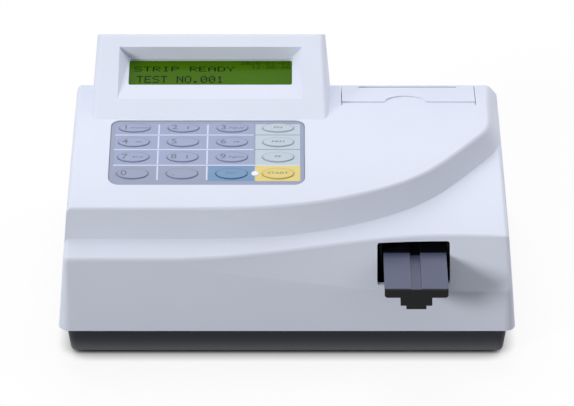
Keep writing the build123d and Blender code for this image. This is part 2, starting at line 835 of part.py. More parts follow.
tray_side = (tray_x - tray_w / 2, tray_x + tray_w / 2)
tray_lip = 1               # thickness of the carriage's lip in front of the insert
insert_y = (tray_lip - tray_reach, insert_len - tray_reach)
groove_x = (tray_x - groove_w / 2, tray_x + groove_w / 2)

with BuildPart() as tray_carriage:
    with BuildSketch(at_y(-tray_reach)):
        with BuildLine():
            w, c = tray_w / 2, 1.2
            Polyline(
                (tray_x - w, tray_z - insert_t), (tray_x - w, plate_z + c),
                (tray_x - w + c, plate_z), (tray_x - rail_w / 2, plate_z),
                (tray_x - rail_w / 2, stem_z), (tray_x - rail_foot_w / 2, stem_z),
                (tray_x - rail_foot_w / 2, foot_z), (tray_x + rail_foot_w / 2, foot_z),
                (tray_x + rail_foot_w / 2, stem_z), (tray_x + rail_w / 2, stem_z),
                (tray_x + rail_w / 2, plate_z), (tray_x + w - c, plate_z),
                (tray_x + w, plate_z + c), (tray_x + w, tray_z - insert_t), close=True,
            )
        make_face()
    extrude(amount=-tray_len)
    slab(tray_side, (-tray_reach, insert_y[0]), (plate_z + 2, tray_z - 0.3))
    slab(tray_side, (insert_y[1], tray_len - tray_reach), (tray_z - insert_t, tray_z - insert_step))
    slab(groove_x, (insert_y[1] - 1, tray_len - tray_reach - 6),
         (tray_z - groove_deep, tray_z + 1), mode=Mode.SUBTRACT)
    # rack along the right side of the stem
    pitch = pi * tray_module
    count = 34
    tooth = pitch / 2 - 0.12
    side = tray_x + rail_w / 2
    with BuildSketch(at_z(plate_z - rack_t)):
        for i in range(count):
            y = pinion_y + (i - 13.5) * pitch
            with BuildLine():
                Polyline(
                    (side - 0.2, y - 0.82 * tooth), (side + 2.05 * tray_module, y - 0.2 * tooth),
                    (side + 2.05 * tray_module, y + 0.2 * tooth), (side - 0.2, y + 0.82 * tooth),
                    close=True,
                )
            make_face()
    extrude(amount=rack_t)
save(tray_carriage, "tray_carriage")

with BuildPart() as strip_tray:
    slab(tray_side, (insert_y[0], insert_y[1] - seat_gap), (tray_z - insert_t, tray_z))
    slab(groove_x, (-tray_reach, insert_y[1]), (tray_z - groove_deep, tray_z + 1),
         mode=Mode.SUBTRACT)
save(strip_tray, "strip_tray")

with BuildPart() as tray_pinion:
    gear(at_z(plate_z - rack_t + 0.1) * Pos(pinion_x, pinion_y, 0), pinion_teeth, tray_module,
         pinion_t, 3)
save(tray_pinion, "tray_pinion")

motor_top = plate_z - rack_t - 1
motor_d = 20
with BuildPart() as tray_motor:
    post(pinion_x, pinion_y, motor_d, (motor_top - 14, motor_top))
    post(pinion_x, pinion_y, 3, (motor_top, plate_z - 0.5))
    slab((pinion_x - 4, pinion_x + 4), (pinion_y - 15, pinion_y + 15), (motor_top - 1, motor_top))
save(tray_motor, "tray_motor")

with BuildPart() as motor_bracket:
    slab((pinion_x - 10, pinion_x + 12), (pinion_y - 16, pinion_y + 16),
         (base_z + base_floor, motor_top - 1))
    slab((pinion_x - 11, pinion_x + 13), (pinion_y - 12, pinion_y + 12),
         (base_z + base_floor + 2, motor_top - 16), mode=Mode.SUBTRACT)
    slab((pinion_x - 11, pinion_x + 13), (pinion_y - 12, pinion_y + 12),
         (motor_top - 14, motor_top), mode=Mode.SUBTRACT)
save(motor_bracket, "motor_bracket")

with BuildPart() as tray_guide:
    inside = tray_w / 2 + side_gap
    outside = inside + guide_wall
    slab((tray_x - outside, tray_x + outside), guide_y, (foot_z - 4, tray_z + 4.6))
    slab((tray_x - inside, tray_x + inside), (guide_y[0] - 1, guide_y[1] + 1),
         (plate_z - rack_t - 0.5, tray_z + 6), mode=Mode.SUBTRACT)
    slab((tray_x - rail_w / 2 - 2.5, tray_x + rail_w / 2 + 2.5), (guide_y[0] - 1, guide_y[1] + 1),
         (stem_z - 0.3, tray_z), mode=Mode.SUBTRACT)
    slab((tray_x - rail_foot_w / 2 - 0.3, tray_x + rail_foot_w / 2 + 0.3),
         (guide_y[0] - 1, guide_y[1] + 1), (foot_z - 0.3, tray_z), mode=Mode.SUBTRACT)
    # room for the pinion and its motor, and for the rear of the rack
    slab((pinion_x - 10.5, pinion_x + 13), (pinion_y - 17, pinion_y + 17),
         (foot_z - 5, plate_z - 0.1), mode=Mode.SUBTRACT)
    for y in (guide_y[0] + 40, guide_y[1] - 10):
        slab((tray_x - 12, tray_x + 12), (y, y + 8), (base_z + base_floor, foot_z - 3.9))
    slab((tray_x - outside, tray_x - 10), (guide_y[0] + 4, guide_y[0] + 10),
         (base_z + base_floor, foot_z - 3.9))
save(tray_guide, "tray_guide")

# ---------------------------------------------------------------- optics over the strip
optic_y = (62, 92)
optic_z = tray_z + 4.6
with BuildPart() as optical_head:
    slab((tray_x - outside, tray_x + outside), optic_y, (optic_z, optic_z + 8), 2)
    slab((tray_x - 10, tray_x + 10), (optic_y[0] + 5, optic_y[1] - 5), (optic_z - 1, optic_z + 4),
         mode=Mode.SUBTRACT)
    post(tray_x, middle(optic_y), 8, (optic_z + 3, optic_z + 9), mode=Mode.SUBTRACT)
save(optical_head, "optical_head")

with BuildPart() as optical_lens:
    post(tray_x, middle(optic_y), 8 - 4 * push_gap, (optic_z + 4, optic_z + 7))
    fillet(optical_lens.edges().sort_by(Axis.Z)[0], 1)
save(optical_lens, "optical_lens")

with BuildPart() as optics_board:
    slab((tray_x - 18, tray_x + 18), (optic_y[0] + 2, optic_y[1] - 2),
         (optic_z + 8, optic_z + 8 + board_t))
save(optics_board, "optics_board")

with BuildPart() as tray_sensor:
    slab((tray_x - outside - 9, tray_x - outside), (100, 112), (tray_z - 4, tray_z + 4))
    slab((tray_x - outside - 6, tray_x - outside - 3), (99, 113), (tray_z, tray_z + 5),
         mode=Mode.SUBTRACT)
save(tray_sensor, "tray_sensor")

# ---------------------------------------------------------------- electronics
floor_z = base_z + base_floor
board_x, board_y = (-half + 30, half - 125), (32, 128)
standoff_h = 7
with BuildPart() as board_standoffs:
    with BuildSketch(at_z(floor_z)):
        with Locations((middle(board_x), middle(board_y))):
            with GridLocations(length(board_x) - 10, length(board_y) - 10, 2, 2):
                RegularPolygon(3.2, 6)
    extrude(amount=standoff_h)
save(board_standoffs, "board_standoffs")

with BuildPart() as main_board:
    top = floor_z + standoff_h
    slab(board_x, board_y, (top, top + board_t), 2)
    for x, y, w, d, h in (
        (-90, 60, 28, 28, 2.5), (-50, 62, 18, 22, 3), (-60, 100, 14, 8, 9), (-95, 105, 20, 12, 6),
    ):
        slab((x - w / 2, x + w / 2), (y - d / 2, y + d / 2), (top + board_t, top + board_t + h))
save(main_board, "main_board")

supply_x, supply_y = (-half + 16, -half + 96), (142, 184)
with BuildPart() as power_supply:
    slab(supply_x, supply_y, (floor_z, floor_z + 24), 1.5)
    with BuildSketch(at_z(floor_z + 24)):
        with Locations((middle(supply_x), middle(supply_y))):
            with GridLocations(7, 1, 9, 1):
                SlotOverall(28, 3, rotation=90)
    extrude(amount=-1.5, mode=Mode.SUBTRACT)
save(power_supply, "power_supply")

# ---------------------------------------------------------------- rear panel pieces
with BuildPart() as power_inlet:
    with BuildSketch(rear_plane(*inlet)):
        RectangleRounded(inlet_w + 4, inlet_h + 4, 2)
    extrude(amount=1.8)
    with BuildSketch(rear_plane(*inlet)):
        RectangleRounded(inlet_w, inlet_h, 1.2)
    extrude(amount=-14)
    with BuildSketch(rear_plane(*inlet) * Pos(0, 0, 1.8)):
        with BuildLine():
            Polyline(
                (-12, -8), (12, -8), (12, 4.5), (8.5, 8), (-8.5, 8), (-12, 4.5), close=True,
            )
        make_face()
    extrude(amount=-14, mode=Mode.SUBTRACT)
    with BuildSketch(rear_plane(*inlet) * Pos(0, 0, -12.2)):
        with Locations((-7, 0.5), (7, 0.5), (0, 4)):
            Rectangle(2, 4)
    extrude(amount=10.5)
save(power_inlet, "power_inlet")

rocker_gap = 0.4
rocker_w, rocker_h = 8.6, 14
pivot_d, pivot_len = 2, 11.4
pivot_below = 3            # the rocker turns about an axis this far behind the wall's face
with BuildPart() as switch_housing:
    with BuildSketch(rear_plane(*switch)):
        RectangleRounded(switch_w + 2.4, switch_h + 2.4, 1.2)
    extrude(amount=1.4)
    with BuildSketch(rear_plane(*switch)):
        RectangleRounded(switch_w, switch_h, 1.2)
    extrude(amount=-13)
    with BuildSketch(rear_plane(*switch) * Pos(0, 0, 1.4)):
        Rectangle(rocker_w + 2 * rocker_gap, rocker_h + 2 * rocker_gap + 1.2)
    extrude(amount=-11, mode=Mode.SUBTRACT)
    pivot_plane = rear_plane(*switch) * Pos(0, 0, -pivot_below) * Rot(0, 90, 0)
    with BuildSketch(pivot_plane):
        Circle(pivot_d / 2 + pin_gap)
    extrude(amount=pivot_len / 2 + pin_gap, both=True, mode=Mode.SUBTRACT)
save(switch_housing, "switch_housing")

rocker_angle = 8
with BuildPart() as power_rocker:
    with BuildSketch(pivot_plane * Rot(0, 0, rocker_angle)):
        with BuildLine():
            tip = rocker_h / 2
            Polyline(
                (3.2, -2.2), (3.2, 2.2), (-3, tip), (-5.6, tip), (-4.4, 0), (-5.6, -tip), (-3, -tip),
                close=True,
            )
        make_face()
    extrude(amount=rocker_w / 2, both=True)
    with BuildSketch(pivot_plane):
        Circle(pivot_d / 2)
    extrude(amount=pivot_len / 2, both=True)
save(power_rocker, "power_rocker")

with BuildPart() as serial_port:
    with BuildSketch(rear_plane(*serial)):
        RectangleRounded(31, 12.6, 1)
    extrude(amount=0.9)
    with BuildSketch(rear_plane(*serial)):
        RectangleRounded(serial_w, serial_h, 1)
    extrude(amount=-10)
    with BuildSketch(rear_plane(*serial) * Pos(0, 0, 0.9)):
        with BuildLine():
            h = serial_shell_h / 2
            Polyline((-8.4, h), (8.4, h), (7.2, -h), (-7.2, -h), close=True)
        make_face()
        offset(amount=-0.7, mode=Mode.SUBTRACT)
    extrude(amount=serial_out - 0.9)
    with BuildSketch(rear_plane(*serial) * Pos(0, 0, 0.9)):
        with Locations((-12.5, 0), (12.5, 0)):
            RegularPolygon(2.6, 6)
    extrude(amount=4.5)
save(serial_port, "serial_port")
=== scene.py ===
import json
import math

import bpy
from mathutils import Matrix, Vector


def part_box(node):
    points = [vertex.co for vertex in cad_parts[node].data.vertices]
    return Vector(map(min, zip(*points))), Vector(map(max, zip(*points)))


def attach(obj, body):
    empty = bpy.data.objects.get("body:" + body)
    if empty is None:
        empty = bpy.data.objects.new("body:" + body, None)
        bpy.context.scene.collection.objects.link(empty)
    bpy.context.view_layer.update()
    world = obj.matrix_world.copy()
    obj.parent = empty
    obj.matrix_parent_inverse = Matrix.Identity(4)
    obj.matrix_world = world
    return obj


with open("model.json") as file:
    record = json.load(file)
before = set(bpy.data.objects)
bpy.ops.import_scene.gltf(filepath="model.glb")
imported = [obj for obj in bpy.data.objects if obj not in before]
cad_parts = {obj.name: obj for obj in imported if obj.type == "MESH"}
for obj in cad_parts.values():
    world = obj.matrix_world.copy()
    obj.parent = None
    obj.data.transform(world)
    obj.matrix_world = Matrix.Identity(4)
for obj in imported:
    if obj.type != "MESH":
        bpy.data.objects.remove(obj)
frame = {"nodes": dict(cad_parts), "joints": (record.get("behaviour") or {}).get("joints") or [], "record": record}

mm = 0.001


def write_size():
    """Updates the view layer."""
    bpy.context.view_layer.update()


write_size()

# ---------------------------------------------------------------- what the picture was taken with
camera_back = 2157.4 * mm  # from the cover's front lower edge
camera_height = 1361.3 * mm
camera_tilt = 60           # degrees up from straight down
lens = 250.87              # mm
sensor = 36                # mm
camera_clip = (0.1, 60)    # metres

# ---------------------------------------------------------------- light
# name, direction towards the light, strength, softness in degrees, colour
lights = (
    ("key_light", (-0.10, 0.60, 0.79), 1.88, 50, (0.99, 0.99, 1.02)),
    ("left_fill", (-0.77, -0.57, 0.28), 1.80, 16, (1.0, 0.995, 0.98)),
    ("right_fill", (0.93, 0.15, 0.33), 1.20, 60, (0.99, 0.99, 1.01)),
)
sky_top = 0.31             # strength overhead
sky_low = 0.25             # strength at the horizon
sky_tint = (0.98, 0.99, 1.0)
white = (1.0, 1.0, 1.0)
floor_bounce = 0.27        # how light the floor is to what it lights
floor_look = 0.95          # how light the floor is to the eye
floor_glow = 0.90          # share of the seen floor that only a near thing darkens
contact_reach = 16 * mm    # how near that is
contact_span = (0.15, 0.80)    # openness at which the glow starts and is full
contact_samples = 16
floor_half = 12            # metres from the middle to its edge
floor_drop = 0.05 * mm     # keeps the floor just under the feet

# ---------------------------------------------------------------- shader helpers
noise_span = (0.3, 0.7)    # most of what noise gives lies between these


def new_shader(name):
    """Empty node material with its Principled shader."""
    material = bpy.data.materials.new(name)
    material.use_nodes = True
    tree = material.node_tree
    tree.nodes.clear()
    shader = tree.nodes.new("ShaderNodeBsdfPrincipled")
    output = tree.nodes.new("ShaderNodeOutputMaterial")
    tree.links.new(shader.outputs["BSDF"], output.inputs["Surface"])
    return material, tree, shader


def place(tree):
    """The point on the surface, in metres, in the frame's axes."""
    return tree.nodes.new("ShaderNodeTexCoord").outputs["Object"]


def noise(tree, point, scale, detail=2):
    """Noise value at a point, its grain about 1 / scale metres."""
    node = tree.nodes.new("ShaderNodeTexNoise")
    node.inputs["Scale"].default_value = scale
    node.inputs["Detail"].default_value = detail
    tree.links.new(point, node.inputs["Vector"])
    return node.outputs["Fac"]


def remap(tree, value, span, low, high):
    """Value carried from a span to low..high, held at both ends."""
    node = tree.nodes.new("ShaderNodeMapRange")
    node.inputs["From Min"].default_value = span[0]
    node.inputs["From Max"].default_value = span[1]
    node.inputs["To Min"].default_value = low
    node.inputs["To Max"].default_value = high
    tree.links.new(value, node.inputs["Value"])
    return node.outputs["Result"]


def mix_colour(tree, share, first, second):
    """Mix of two colours, each a socket or a plain colour."""
    node = tree.nodes.new("ShaderNodeMix")
    node.data_type = "RGBA"
    tree.links.new(share, node.inputs["Factor"])
    for socket, value in ((node.inputs["A"], first), (node.inputs["B"], second)):
        if isinstance(value, tuple):
            socket.default_value = (*value, 1)
        else:
            tree.links.new(value, socket)
    return node.outputs["Result"]


def darker(colour, share):
    """The colour times a share."""
    return tuple(c * share for c in colour)


def bump(tree, shader, height, distance):
    """Relief of the given depth in metres."""
    node = tree.nodes.new("ShaderNodeBump")
    node.inputs["Strength"].default_value = 1
    node.inputs["Distance"].default_value = distance
    tree.links.new(height, node.inputs["Height"])
    tree.links.new(node.outputs["Normal"], shader.inputs["Normal"])


def finish_coat(name, colour, roughness, tint=0.94, grain=1500, depth=0.00002, gloss_change=0.06,
                specular=0.5):
    """General moulded or painted surface: faint tint changes, fine relief, uneven gloss.

    The tint is the share that the darker clouds keep, the grain its fineness per metre and the
    depth that of the relief in metres.
    """
    material, tree, shader = new_shader(name)
    point = place(tree)
    cloud = remap(tree, noise(tree, point, 14), noise_span, 0, 1)
    base = mix_colour(tree, cloud, darker(colour, tint), colour)
    tree.links.new(base, shader.inputs["Base Color"])
    fine = noise(tree, point, grain, 1)
    rough = remap(tree, fine, noise_span, roughness - gloss_change, roughness + gloss_change)
    tree.links.new(rough, shader.inputs["Roughness"])
    bump(tree, shader, fine, depth)
    shader.inputs["Specular IOR Level"].default_value = specular
    return material


print_edge = 0.06 * mm     # softness of a printed edge, to each side


def base_plastic():
    """Dark moulded base with painted floor light: its colour turns paler towards its lower side."""
    material = finish_coat("base_plastic", base_colour, 0.46, 0.85, 1800, 0.00003, 0.07, 0.26)
    tree = material.node_tree
    shader = tree.nodes["Principled BSDF"]
    plain = shader.inputs["Base Color"].links[0].from_socket
    split = tree.nodes.new("ShaderNodeSeparateXYZ")
    tree.links.new(place(tree), split.inputs["Vector"])
    low = remap(tree, split.outputs["Z"], painted_floor_light_span, 1, 0)
    curve = tree.nodes.new("ShaderNodeMath")
    curve.operation = "POWER"
    curve.inputs[1].default_value = painted_floor_light_fall
    tree.links.new(low, curve.inputs[0])
    colour = mix_colour(tree, curve.outputs[0], plain, painted_floor_light_colour)
    tree.links.new(colour, shader.inputs["Base Color"])
    return material


def printed_box_group():
    """Node group: mask of a rounded rectangle printed in plan."""
    group = bpy.data.node_groups.new("printed_box", "ShaderNodeTree")
    for name, kind in (("Point", "Vector"), ("Centre", "Vector"), ("Half Size", "Vector"),
                       ("Radius", "Float")):
        group.interface.new_socket(name, in_out="INPUT", socket_type="NodeSocket" + kind)
    group.interface.new_socket("Mask", in_out="OUTPUT", socket_type="NodeSocketFloat")
    source = group.nodes.new("NodeGroupInput")
    target = group.nodes.new("NodeGroupOutput")

    def vector_math(operation, first, second=None):
        node = group.nodes.new("ShaderNodeVectorMath")
        node.operation = operation
        group.links.new(first, node.inputs[0])
        if isinstance(second, tuple):
            node.inputs[1].default_value = second
        elif second is not None:
            group.links.new(second, node.inputs[1])
        return node.outputs["Value" if operation == "LENGTH" else "Vector"]

    offset = vector_math("SUBTRACT", source.outputs["Point"], source.outputs["Centre"])
    flat = vector_math("MULTIPLY", offset, (1, 1, 0))
    beyond = vector_math("SUBTRACT", vector_math("ABSOLUTE", flat), source.outputs["Half Size"])
    corner = vector_math("MAXIMUM", beyond, (0, 0, 0))
    distance = group.nodes.new("ShaderNodeMath")
    distance.operation = "SUBTRACT"
    group.links.new(vector_math("LENGTH", corner), distance.inputs[0])
    group.links.new(source.outputs["Radius"], distance.inputs[1])
    mask = remap(group, distance.outputs[0], (-print_edge, print_edge), 1, 0)
    group.links.new(mask, target.inputs["Mask"])
    return group


def printed_box(tree, group, point, x, y, radius):
    """Mask of one printed rectangle between two x and two y, its corners rounded."""
    node = tree.nodes.new("ShaderNodeGroup")
    node.node_tree = group
    tree.links.new(point, node.inputs["Point"])
    node.inputs["Centre"].default_value = ((x[0] + x[1]) / 2, (y[0] + y[1]) / 2, 0)
    node.inputs["Half Size"].default_value = (
        (x[1] - x[0]) / 2 - radius, (y[1] - y[0]) / 2 - radius, 1,
    )
    node.inputs["Radius"].default_value = radius
    return node.outputs["Mask"]


# ---------------------------------------------------------------- colours (linear)
cover_colour = (0.705, 0.745, 0.865)
base_colour = (0.014, 0.016, 0.026)
# painted floor light: pale colour mixed into the base's lower side
painted_floor_light_colour = (0.20, 0.205, 0.215)
painted_floor_light_span = (1.5 * mm, 17 * mm)    # heights between which the painted floor light fades out
painted_floor_light_fall = 2.2                    # how fast it fades, as a power
film_colour = (0.225, 0.27, 0.405)
# painted shade of the gap round the keypad film
painted_gap_shade_colour = (0.11, 0.13, 0.19)
cell_colour = (0.245, 0.295, 0.47)
line_colour = (0.56, 0.63, 0.78)
pale_colour = (0.43, 0.515, 0.59)
blue_colour = (0.082, 0.215, 0.41)
yellow_colour = (0.68, 0.54, 0.12)
legend_colour = (0.10, 0.112, 0.165)
screen_colour = (0.042, 0.118, 0.0006)
dot_colour = (0.004, 0.013, 0.002)
tray_colour = (0.066, 0.078, 0.145)

# ---------------------------------------------------------------- where the keypad's print lies
key_rows = (
    ("1", "2", "3", "fn"),
    ("4", "5", "6", "prn"),
    ("7", "8", "9", "feed"),
    ("0", "point", "esc", "start"),
)
columns = len(key_rows[0])


def centre(node):
    """Middle of a node's box."""
    low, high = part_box(node)
    return (low + high) / 2


column_x = [centre("key_" + key_rows[0][i]).x for i in range(columns)]
row_y = [centre("key_" + row[0]).y for row in key_rows]
film_low, film_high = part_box("keypad_overlay")
split_x = [(column_x[i] + column_x[i + 1]) / 2 for i in range(columns - 1)]
split_y = [(row_y[i] + row_y[i + 1]) / 2 for i in range(len(key_rows) - 1)]
film_grain = 4200
film_relief = 0.000012
print_left = film_low.x + 3.4 * mm
print_right = film_high.x - 3.0 * mm
print_top = film_high.y - 3.6 * mm
print_bottom = film_low.y + 4.0 * mm
line_w = 0.95 * mm
painted_gap_shade_w = 0.45 * mm          # painted shade of the gap, all round the film's edge
film_r = 6.9 * mm
line_gap = 1.0 * mm        # the short upright lines end this much before the level ones
line_r = 0.2 * mm
cell_r = 0.3 * mm
pale_r = 0.5 * mm
yellow_r = 0.9 * mm
pale_inset = 0.2 * mm      # the right column starts this much past its dividing line
blue_inset = 0.5 * mm      # the blue cell ends this much before it
line_start = 0.6 * mm      # the level lines reach this much past the cells
pale_low, pale_high = line_w * 0.55, line_w * 0.45    # the line between two pale cells


def keypad_film():
    """Printed film: cells, light dividing lines, pale column, blue and yellow cells, and painted gap shade round
    its edge.
    """
    material, tree, shader = new_shader("keypad_film")
    point = place(tree)
    group = printed_box_group()
    cloud = remap(tree, noise(tree, point, 30), noise_span, 0, 1)
    # the film starts as painted gap shade; its printed colours lie inside that edge
    colour = mix_colour(tree, cloud, darker(painted_gap_shade_colour, 0.9), painted_gap_shade_colour)
    rows = [print_top, *split_y, print_bottom]
    last = len(rows) - 2
    right_column = (split_x[2] + pale_inset, print_right)
    low_row = (rows[-1], rows[last] - line_w / 2)
    boxes = [(film_colour, (film_low.x + painted_gap_shade_w, film_high.x - painted_gap_shade_w),
              (film_low.y + painted_gap_shade_w, film_high.y - painted_gap_shade_w), film_r - painted_gap_shade_w)]
    for i in range(last):
        boxes.append((cell_colour, (print_left, split_x[2] - line_w), (rows[i + 1], rows[i]), cell_r))
        boxes.append((pale_colour, right_column, (rows[i + 1] + pale_low, rows[i] - pale_high), pale_r))
    boxes.append((blue_colour, (split_x[1] + line_w, split_x[2] - blue_inset), low_row, cell_r))
    boxes.append((yellow_colour, right_column, low_row, yellow_r))
    for i in range(last):
        right = print_right if i == last - 1 else split_x[2] - line_w
        y = rows[i + 1]
        boxes.append((line_colour, (print_left - line_start, right),
                      (y - line_w / 2, y + line_w / 2), line_r))
    for i in range(last + 1):
        span = (rows[i + 1] + line_gap, rows[i] - line_gap)
        for x in split_x[:2]:
            boxes.append((line_colour, (x - line_w / 2, x + line_w / 2), span, line_r))
    for paint, x, y, radius in boxes:
        mask = printed_box(tree, group, point, x, y, radius)
        colour = mix_colour(tree, mask, colour, paint)
    tree.links.new(colour, shader.inputs["Base Color"])
    bump(tree, shader, noise(tree, point, film_grain, 1), film_relief)
    shader.inputs["Roughness"].default_value = 0.42
    return material


pixel_waves = 750 / (2 * math.pi)     # fineness of the pixel rows
pixel_row_share = 0.06                # how strongly they show
screen_glow = 0.3


def screen_glass():
    """Lit screen under glass: even green with faint pixel rows."""
    material, tree, shader = new_shader("screen_glass")
    point = place(tree)
    cloud = remap(tree, noise(tree, point, 18), (0.35, 0.65), 0, 1)
    colour = mix_colour(tree, cloud, darker(screen_colour, 0.93), screen_colour)
    wave = tree.nodes.new("ShaderNodeTexWave")
    wave.bands_direction = "Y"
    wave.inputs["Scale"].default_value = pixel_waves
    tree.links.new(point, wave.inputs["Vector"])
    rows = remap(tree, wave.outputs["Fac"], (0, 1), 0, pixel_row_share)
    colour = mix_colour(tree, rows, colour, darker(screen_colour, 0.5))
    tree.links.new(colour, shader.inputs["Base Color"])
    tree.links.new(colour, shader.inputs["Emission Color"])
    shader.inputs["Emission Strength"].default_value = screen_glow
    shader.inputs["Roughness"].default_value = 0.16
    shader.inputs["Specular IOR Level"].default_value = 0.02
    return material


def clear_lens():
    """Milky lens of the status light and the reading head."""
    material = finish_coat("clear_lens", (0.74, 0.78, 0.84), 0.22, 0.97, 900, 0.000004, 0.03)
    shader = material.node_tree.nodes["Principled BSDF"]
    shader.inputs["Subsurface Weight"].default_value = 0.3
    shader.inputs["Subsurface Scale"].default_value = 1.5 * mm
    return material


drawn_grain = (60, 2600, 2600)     # per metre along X, Y and Z
drawn_change = 0.08                # how much the gloss changes from line to line


def turned_metal(name, colour, roughness):
    """Metal with fine drawn lines along X."""
    material, tree, shader = new_shader(name)
    stretch = tree.nodes.new("ShaderNodeMapping")
    stretch.inputs["Scale"].default_value = drawn_grain
    tree.links.new(place(tree), stretch.inputs["Vector"])
    lines = noise(tree, stretch.outputs["Vector"], 1, 3)
    base = mix_colour(tree, lines, darker(colour, 0.85), colour)
    tree.links.new(base, shader.inputs["Base Color"])
    rough = remap(tree, lines, noise_span, roughness - drawn_change, roughness + drawn_change)
    tree.links.new(rough, shader.inputs["Roughness"])
    bump(tree, shader, lines, 0.00001)
    shader.inputs["Metallic"].default_value = 1
    return material


def circuit_board():
    """Green solder mask over copper tracks."""
    material, tree, shader = new_shader("circuit_board")
    point = place(tree)
    tracks = tree.nodes.new("ShaderNodeTexBrick")
    tracks.inputs["Scale"].default_value = 160
    tracks.inputs["Mortar Size"].default_value = 0.035
    tracks.inputs["Color1"].default_value = (0.012, 0.14, 0.055, 1)
    tracks.inputs["Color2"].default_value = (0.016, 0.165, 0.065, 1)
    tracks.inputs["Mortar"].default_value = (0.05, 0.30, 0.12, 1)
    tree.links.new(point, tracks.inputs["Vector"])
    tree.links.new(tracks.outputs["Color"], shader.inputs["Base Color"])
    bump(tree, shader, tracks.outputs["Fac"], 0.00003)
    shader.inputs["Roughness"].default_value = 0.35
    return material


# ---------------------------------------------------------------- materials by the record's slots
finishes = {
    "cover_white": finish_coat("cover_plastic", cover_colour, 0.52, 0.975, 2600, 0.00002, 0.05),
    "base_dark": base_plastic(),
    "rubber": finish_coat("foot_rubber", (0.025, 0.025, 0.025), 0.75, 0.8, 1400, 0.00005),
    "steel": turned_metal("drawn_steel", (0.60, 0.60, 0.61), 0.34),
    "steel_dark": finish_coat("black_steel", (0.035, 0.035, 0.04), 0.4, 0.85, 1500, 0.00002),
    "film_clear": finish_coat("switch_film", (0.70, 0.70, 0.67), 0.35, 0.94, 800, 0.00001),
    "overlay_film": keypad_film(),
    "key_pale": finish_coat("key_pale_film", pale_colour, 0.40, 0.97, film_grain, film_relief),
    "key_blue": finish_coat("key_blue_film", blue_colour, 0.40, 0.95, film_grain, film_relief),
    "key_yellow": finish_coat("key_yellow_film", yellow_colour, 0.40, 0.96, film_grain, film_relief),
    "lens": clear_lens(),
    "lcd": screen_glass(),
    "circuit_board": circuit_board(),
    "black_plastic": finish_coat("black_plastic", (0.006, 0.0063, 0.008), 0.46, 0.8, 1600, 0.00002,
                                 specular=0.22),
    "tray_blue": finish_coat("tray_plastic", tray_colour, 0.42, 0.95, 1800, 0.00001, specular=0.28),
    "paper": finish_coat("thermal_paper", (0.80, 0.80, 0.77), 0.6, 0.96, 3200, 0.00001),
    "core_board": finish_coat("wound_board", (0.42, 0.28, 0.16), 0.8, 0.85, 1200, 0.00006),
    "nylon": finish_coat("gear_nylon", (0.76, 0.75, 0.68), 0.45, 0.95, 1500, 0.00001),
    "platen_rubber": finish_coat("platen_rubber", (0.03, 0.03, 0.032), 0.6, 0.85, 2600, 0.00002),
    "aluminium": turned_metal("folded_aluminium", (0.66, 0.67, 0.69), 0.38),
    "brass": turned_metal("brass_hex", (0.62, 0.45, 0.17), 0.3),
}


def ink_or_painted_shade(name, colour):
    """Thin printed line or letter, or thin line of painted shade."""
    return finish_coat(name, colour, 0.45, 0.9, 3000, 0.000002)


legend_ink = ink_or_painted_shade("legend_ink", legend_colour)
screen_dots = finish_coat("screen_dots", dot_colour, 0.3, 0.9, 900, 0.000001, 0.03, specular=0.02)
start_ink = ink_or_painted_shade("start_ink", (0.20, 0.15, 0.05))
blue_ink = ink_or_painted_shade("blue_ink", (0.05, 0.12, 0.23))
# dark rings round the keys: painted shade of their embossed edges
painted_ring_shade = ink_or_painted_shade("painted_ring_shade", darker(cell_colour, 0.62))
pale_painted_ring_shade = ink_or_painted_shade("pale_painted_ring_shade", darker(pale_colour, 0.55))
painted_ring_shades = {
    "fn": pale_painted_ring_shade, "prn": pale_painted_ring_shade, "feed": pale_painted_ring_shade,
    "esc": ink_or_painted_shade("blue_painted_ring_shade", darker(blue_colour, 0.45)),
    "start": ink_or_painted_shade("yellow_painted_ring_shade", darker(yellow_colour, 0.72)),
}

for part in frame["record"]["subparts"]:
    node = frame["nodes"][part["node"]]
    if not node.material_slots:
        node.data.materials.append(None)
    for slot in node.material_slots:
        slot.link = "OBJECT"
        slot.material = finishes[part["material_slot"]]


# ---------------------------------------------------------------- printed pieces
def add_mesh(name, verts, faces, material, slot, body, matrix=Matrix()):
    """Mesh piece that rides on a body and takes the given finish; its slot is not used."""
    mesh = bpy.data.meshes.new(name)
    mesh.from_pydata([matrix @ Vector(v) for v in verts], [], faces)
    mesh.materials.append(material)
    piece = bpy.data.objects.new(name, mesh)
    bpy.context.scene.collection.objects.link(piece)
    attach(piece, body)


capital_share = 0.7        # the font's capitals are this much of its size
stroke_growth = 0.012      # how much bolder the strokes are drawn, by the capitals' height


def text_outline(text, height, widen):
    """Vertices and faces of a line of text lying in its own plane."""
    curve = bpy.data.curves.new("line_of_text", "FONT")
    curve.body = text
    curve.size = height / capital_share
    curve.align_x = "CENTER"
    curve.align_y = "CENTER"
    curve.resolution_u = 3
    curve.offset = stroke_growth * height
    carrier = bpy.data.objects.new("line_of_text", curve)
    bpy.context.scene.collection.objects.link(carrier)
    bpy.context.view_layer.update()
    mesh = bpy.data.meshes.new_from_object(
        carrier.evaluated_get(bpy.context.evaluated_depsgraph_get()))
    verts = [(v.co.x * widen, v.co.y, 0) for v in mesh.vertices]
    faces = [tuple(p.vertices) for p in mesh.polygons]
    bpy.data.objects.remove(carrier)
    bpy.data.meshes.remove(mesh)
    return verts, faces


def arrow_outline(size, direction):
    """Shaft and head of an arrow that points along +X, turned by a number of quarter turns."""
    tip, head, w = size / 2, size * 0.32, size * 0.09
    neck, barb = tip - head, head * 0.6
    verts = [(-tip, -w, 0), (neck, -w, 0), (neck, w, 0), (-tip, w, 0),
             (neck, -barb, 0), (tip, 0, 0), (neck, barb, 0)]
    turn = Matrix.Rotation(direction * math.pi / 2, 3, "Z")
    return [tuple(turn @ Vector(v)) for v in verts], [(0, 1, 2, 3), (4, 5, 6)]


press_axis = {joint["child"]: Vector(joint["axis"]) for joint in frame["joints"]}
ink_lift = 0.02 * mm


